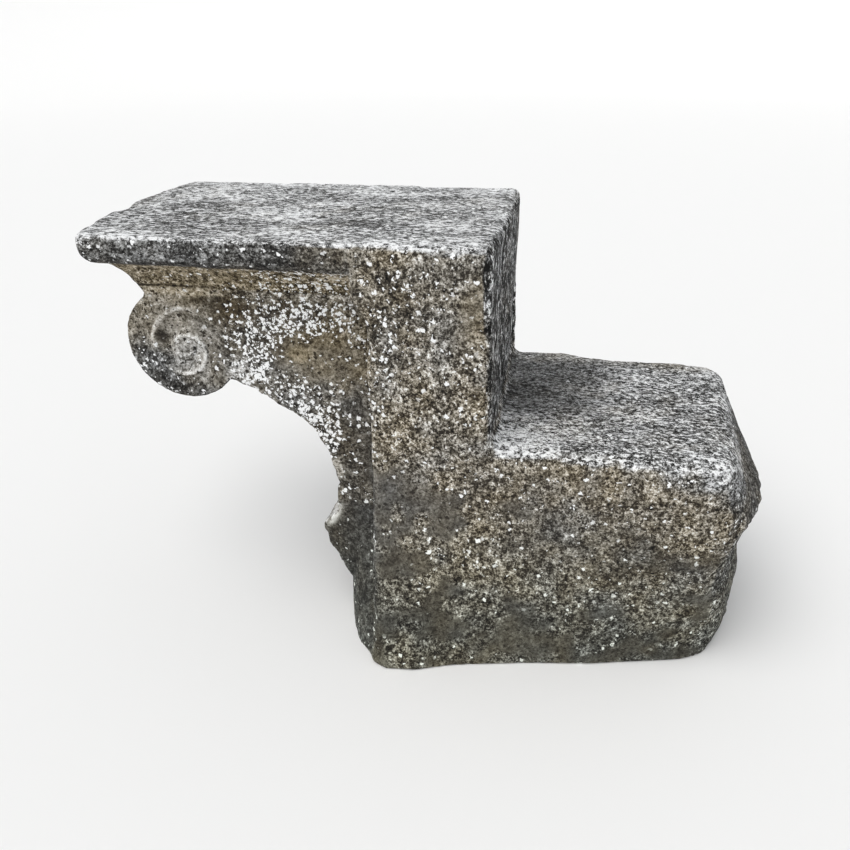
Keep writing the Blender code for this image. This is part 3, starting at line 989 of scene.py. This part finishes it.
class Bench:
    """The node tree of one material, and the one way that nodes are added to it."""

    def __init__(self, material: bpy.types.Material) -> None:
        """Takes a material's tree."""
        self.tree = material.node_tree

    def node(self, kind: str, settings: dict, inputs: dict, output: int | str = 0) -> Socket:
        """Adds a node, sets it, then fills its sockets.

        Args:
            kind: The node's type.
            settings: Its own settings. "stops" are a ramp's places and colours.
            inputs: Values or sockets by the input's name or place.
            output: Which output is wanted.

        Returns:
            That output.
        """
        made = self.tree.nodes.new(kind)
        for name, value in settings.items():
            if name == "stops":
                self._stops(made.color_ramp, value)
            else:
                setattr(made, name, value)
        for place, value in inputs.items():
            if isinstance(value, Socket):
                self.tree.links.new(value.output, made.inputs[place])
            else:
                made.inputs[place].default_value = value
        return Socket(self, made.outputs[output])

    @staticmethod
    def _stops(ramp: bpy.types.ColorRamp, stops: tuple) -> None:
        """Fills a ramp with its places and colours.

        Args:
            ramp: The ramp, new.
            stops: Pairs of a place and a linear colour.
        """
        while len(ramp.elements) < len(stops):
            ramp.elements.new(1.0)
        for element, (place, colour) in zip(ramp.elements, stops):
            element.position = place
            element.color = colour

    def layer(self, zone: Zone) -> Socket:
        """A weathering layer of the skin."""
        return self.node("ShaderNodeAttribute", {"attribute_name": zone.value}, {}, "Fac")

    def noise(self, vector: Socket, scale: float, detail: float, roughness: float) -> Socket:
        """Fractal noise around 0.5 at a number of waves to the metre."""
        inputs = {"Vector": vector, "Scale": scale, "Detail": detail, "Roughness": roughness}
        return self.node("ShaderNodeTexNoise", {}, inputs)

    def stretched(self, vector: Socket, factors: tuple[float, float, float]) -> Socket:
        """A vector times a factor along each axis, which draws a pattern out where it is under 1."""
        return self.node("ShaderNodeVectorMath", {"operation": "MULTIPLY"}, {0: vector, 1: factors})

    def show(self, shader: Socket) -> None:
        """Links a shader to the material's output."""
        output = self.tree.nodes.new("ShaderNodeOutputMaterial")
        self.tree.links.new(shader.output, output.inputs["Surface"])

    def blend(self, factor: object, first: object, second: object) -> Socket:
        """Mixes two colours."""
        return self.node("ShaderNodeMix", {"data_type": "RGBA"}, {0: factor, 6: first, 7: second}, 2)


@dataclass(frozen=True)
class Unevenness:
    """One size of the stone's mottling: fractal noise around 0, times a gain.

    It counts in the tone and in the bump by a share each.
    """

    scale: float
    detail: float
    roughness: float
    gain: float
    in_tone: float = 1.0
    in_bump: float = 0.0

    def on(self, bench: Bench, vector: Socket) -> Socket:
        """The mottling, read at a vector."""
        return (bench.noise(vector, self.scale, self.detail, self.roughness) - 0.5) * self.gain


@dataclass(frozen=True)
class Spots:
    """Round growths: discs in some cells of a random pattern."""

    scale: float
    size: float

    def on(self, bench: Bench, vector: Socket, amount: Socket) -> Socket:
        """Grows the spots.

        Args:
            bench: The material's tree.
            vector: Where the pattern is read.
            amount: The share of cells that hold a spot.

        Returns:
            1 inside the spots and 0 outside.
        """
        cells = {"Vector": vector, "Scale": self.scale}
        reach = bench.node("ShaderNodeTexVoronoi", {}, cells, "Distance")
        colour = bench.node("ShaderNodeTexVoronoi", {}, cells, "Color")
        red = bench.node("ShaderNodeSeparateColor", {}, {0: colour}, "Red")
        green = bench.node("ShaderNodeSeparateColor", {}, {0: colour}, "Green")
        radius = self.size * (0.55 + 0.6 * green)
        there = (amount - red).rise(-0.02, 0.02)
        return (radius - reach).rise(-0.05, 0.05) * there


@dataclass(frozen=True)
class WeatheredLimestone:
    """Old limestone: mottled grey-brown stone, dark crust, pale flecks, dark specks with painted shade
    in their pits, and round white lichen.
    """

    cool: tuple = ((0.0, (9, 9, 9)), (0.2, (52, 51, 50)), (0.35, (89, 89, 88)), (0.5, (127, 128, 128)),
                   (0.65, (165, 166, 167)), (0.8, (203, 204, 206)), (1.0, (250, 251, 252)))
    warm: tuple = ((0.0, (13, 10, 6)), (0.2, (61, 51, 36)), (0.35, (101, 90, 69)),
                   (0.5, (140, 129, 105)), (0.65, (178, 165, 142)), (0.8, (213, 203, 184)),
                   (1.0, (250, 249, 243)))
    damp: tuple = (0.97, 1.0, 0.91, 1.0)
    grain: Unevenness = Unevenness(280.0, 2.0, 0.8, 12.0, in_tone=0.60, in_bump=0.14)
    speckle: Unevenness = Unevenness(105.0, 3.0, 0.75, 9.0, in_tone=0.90, in_bump=0.28)
    mottle: Unevenness = Unevenness(42.0, 3.0, 0.6, 6.0, in_tone=0.40, in_bump=0.3)
    streak: Unevenness = Unevenness(80.0, 3.0, 0.75, 16.0)
    cluster: Unevenness = Unevenness(17.0, 3.0, 0.6, 0.32, in_tone=1.5)
    fleck_edge: tuple[float, float] = (0.518, 0.550)
    fleck_tone: float = 0.99
    fleck_cover: float = 0.88
    pit_shade_edge: tuple[float, float] = (0.56, 0.64)
    pit_shade_cover: float = 0.5
    specks: Spots = Spots(185.0, 0.50)
    speck_cover: float = 0.85
    speck_and_pit_shade_tone: float = 0.12
    large_lichen: Spots = Spots(145.0, 0.54)
    small_lichen: Spots = Spots(250.0, 0.47)
    lichen_tone: float = 1.08
    bump_depth: float = 0.0012
    bump_strength: float = 0.55
    roughness: float = 0.92
    gloss: float = 0.25

    @staticmethod
    def _ramp(bench: Bench, tone: Socket, stops: tuple) -> Socket:
        """Colours a tone by one of the finish's ramps."""
        colours = tuple((place, linear(*colour)) for place, colour in stops)
        return bench.node("ShaderNodeValToRGB", {"stops": colours}, {0: tone})

    @staticmethod
    def _rippled(bench: Bench, place: Socket) -> Socket:
        """The place plus 1 cm times a fine noise, so that the spots aren't quite round.

        Args:
            bench: The material's tree.
            place: Where the stone's patterns are read.

        Returns:
            The moved place.
        """
        inputs = {"Vector": place, "Scale": 190.0, "Detail": 2.0}
        ripple = bench.node("ShaderNodeTexNoise", {}, inputs, "Color")
        moved = {0: ripple, 1: (0.010, 0.010, 0.010), 2: place}
        return bench.node("ShaderNodeVectorMath", {"operation": "MULTIPLY_ADD"}, moved)

    def material(self) -> bpy.types.Material:
        """Builds the finish.

        Returns:
            The material.
        """
        material = bpy.data.materials.new("weathered_limestone")
        material.use_nodes = True
        material.node_tree.nodes.clear()
        bench = Bench(material)
        place = bench.node("ShaderNodeTexCoord", {}, {}, "Object")
        rippled = self._rippled(bench, place)
        drawn = bench.stretched(place, (0.55, 1.0, 1.0))
        fallen = bench.stretched(place, (1.0, 1.0, 0.6))

        grain = self.grain.on(bench, place)
        speckle = self.speckle.on(bench, place)
        mottle = self.mottle.on(bench, place)
        streak = self.streak.on(bench, fallen) * bench.layer(Zone.STREAK)
        contrast = bench.layer(Zone.CONTRAST)
        texture = (grain * self.grain.in_tone + speckle * self.speckle.in_tone
                   + mottle * self.mottle.in_tone + streak)
        tone = bench.layer(Zone.TONE) + contrast * texture
        flecked = bench.layer(Zone.FLECK)
        cluster = self.cluster.on(bench, drawn)
        flake = bench.noise(drawn, 165.0, 3.0, 0.8) + 0.85 * cluster
        fleck = flake.rise(*self.fleck_edge) * flecked
        tone = tone + cluster * flecked * self.cluster.in_tone
        tone = tone + fleck * (self.fleck_tone - tone) * self.fleck_cover
        # Dark specks and holes, partly the stone's own colour and partly painted shade in pits.
        dark = bench.noise(place, 170.0, 2.0, 0.6).rise(*self.pit_shade_edge) * self.pit_shade_cover
        specks = self.specks.on(bench, rippled, contrast * 2.2 - 0.08)
        dark = (dark + specks * self.speck_cover * (1.0 - dark)) * (1.0 - fleck)
        tone = tone - dark * (tone - self.speck_and_pit_shade_tone)
        lichen = bench.layer(Zone.LICHEN)
        large = self.large_lichen.on(bench, rippled, lichen * 0.92)
        small = self.small_lichen.on(bench, rippled, lichen * 0.62)
        growth = large + small * (1.0 - large)
        white = self.lichen_tone - 0.14 * bench.noise(place, 400.0, 2.0, 0.6)
        tone = tone + growth * (white - tone)

        warmth = (bench.layer(Zone.WARMTH) * (1.0 - 0.7 * growth)).rise(0.0, 1.0)
        cool, warm = self._ramp(bench, tone, self.cool), self._ramp(bench, tone, self.warm)
        shown = bench.blend(warmth, cool, warm)
        wet = bench.node("ShaderNodeMix", {"data_type": "RGBA", "blend_type": "MULTIPLY"},
                         {0: bench.layer(Zone.DAMP), 6: shown, 7: self.damp}, 2)
        uneven = (self.grain.in_bump * grain + self.speckle.in_bump * speckle
                  + self.mottle.in_bump * mottle)
        height = uneven + 1.2 * growth - 1.4 * dark + 0.6 * fleck
        bump = bench.node("ShaderNodeBump", {}, {
            "Strength": self.bump_strength, "Distance": self.bump_depth, "Height": height})
        shader = bench.node("ShaderNodeBsdfPrincipled", {}, {
            "Base Color": wet, "Roughness": self.roughness - 0.08 * growth, "Normal": bump,
            "Specular IOR Level": self.gloss})
        bench.show(shader)
        return material


@dataclass
class Studio:
    """The pale floor, the soft light and the camera."""

    floor_reach: float = 9.0
    floor_height: float = 5.0
    floor_sides: int = 64
    floor_bends: int = 12
    floor_flat: float = 0.7
    floor_colour: tuple = (0.88, 0.88, 0.88, 1.0)
    floor_roughness: float = 0.9
    eye: tuple[float, float, float] = (0.3138, -1.3541, 0.9954)
    yaw: float = 11.2
    pitch: float = 26.0
    roll: float = 0.7
    lens: float = 37.31
    sky: float = 0.55
    sky_colour: tuple = (0.96, 0.98, 1.0, 1.0)
    lamp: float = 1.9
    lamp_colour: tuple = (1.0, 0.985, 0.96)
    lamp_spread: float = 50.0
    lamp_way: tuple = (0.30, 0.55, -1.0)

    def floor(self) -> None:
        """A wide, plain, pale floor at the stone's bed, which curves up far behind it."""
        around = np.linspace(0.0, 2.0 * math.pi, self.floor_sides, endpoint=False)
        bend = np.linspace(0.0, 0.5 * math.pi, self.floor_bends)
        curved = self.floor_reach + self.floor_height * np.sin(bend)
        reach = np.append(self.floor_flat * self.floor_reach, curved)
        height = np.append(0.0, self.floor_height * (1.0 - np.cos(bend)))
        rings = np.stack([np.outer(reach, np.cos(around)), np.outer(reach, np.sin(around)),
                          np.outer(height, np.ones(self.floor_sides))], axis=2).reshape(-1, 3)
        first = np.arange(self.floor_bends * self.floor_sides)
        after = first - first % self.floor_sides + (first + 1) % self.floor_sides
        quads = np.stack([first, first + self.floor_sides, after + self.floor_sides, after], axis=1)
        mesh = bpy.data.meshes.new("pale_floor")
        mesh.from_pydata(rings.tolist(), [], quads.tolist() + [list(range(self.floor_sides))])
        mesh.shade_smooth()
        floor = bpy.data.objects.new("pale_floor", mesh)
        bpy.context.scene.collection.objects.link(floor)
        material = bpy.data.materials.new("pale_floor")
        material.use_nodes = True
        shader = material.node_tree.nodes["Principled BSDF"]
        shader.inputs["Base Color"].default_value = self.floor_colour
        shader.inputs["Roughness"].default_value = self.floor_roughness
        mesh.materials.append(material)

    def lights(self) -> None:
        """An even pale sky and one broad soft lamp from above, ahead of the stone and to its left."""
        world = bpy.data.worlds.new("even_sky")
        world.use_nodes = True
        sky = world.node_tree.nodes["Background"]
        sky.inputs["Color"].default_value = self.sky_colour
        sky.inputs["Strength"].default_value = self.sky
        bpy.context.scene.world = world
        lamp = bpy.data.lights.new("broad_lamp", "SUN")
        lamp.energy = self.lamp
        lamp.angle = math.radians(self.lamp_spread)
        lamp.color = self.lamp_colour
        holder = bpy.data.objects.new("broad_lamp", lamp)
        holder.rotation_euler = Vector(self.lamp_way).to_track_quat("-Z", "Y").to_euler()
        bpy.context.scene.collection.objects.link(holder)

    def camera(self) -> None:
        """The camera at the photograph's place: yaw, then pitch down, then a slight roll."""
        yaw, pitch, roll = (math.radians(angle) for angle in (self.yaw, self.pitch, self.roll))
        level = math.cos(pitch)
        ahead = Vector((-math.sin(yaw) * level, math.cos(yaw) * level, -math.sin(pitch)))
        right = Vector((math.cos(yaw), math.sin(yaw), 0.0))
        down = ahead.cross(right)
        turned_right = right * math.cos(roll) + down * math.sin(roll)
        turned_up = right * math.sin(roll) - down * math.cos(roll)
        data = bpy.data.cameras.new("photo_camera")
        data.lens = self.lens
        data.sensor_width = 36.0
        data.clip_end = 100.0
        camera = bpy.data.objects.new("photo_camera", data)
        turn = Matrix((turned_right, turned_up, -ahead)).transposed().to_4x4()
        camera.matrix_world = Matrix.Translation(self.eye) @ turn
        bpy.context.scene.collection.objects.link(camera)
        bpy.context.scene.camera = camera

    def make(self) -> None:
        """Sets up the floor, the light and the camera, with colours shown as they are."""
        bpy.context.scene.view_settings.view_transform = "Standard"
        self.floor()
        self.lights()
        self.camera()


def main() -> None:
    """Builds the stone and the studio."""
    logging.basicConfig(level=logging.INFO, format="%(message)s")
    stone = CorbelStone().make()
    LOG.info("%s: %d faces", stone.name, len(stone.data.polygons))
    Studio().make()
    LOG.info("studio: floor, light and camera")


if __name__ == "__main__":
    main()
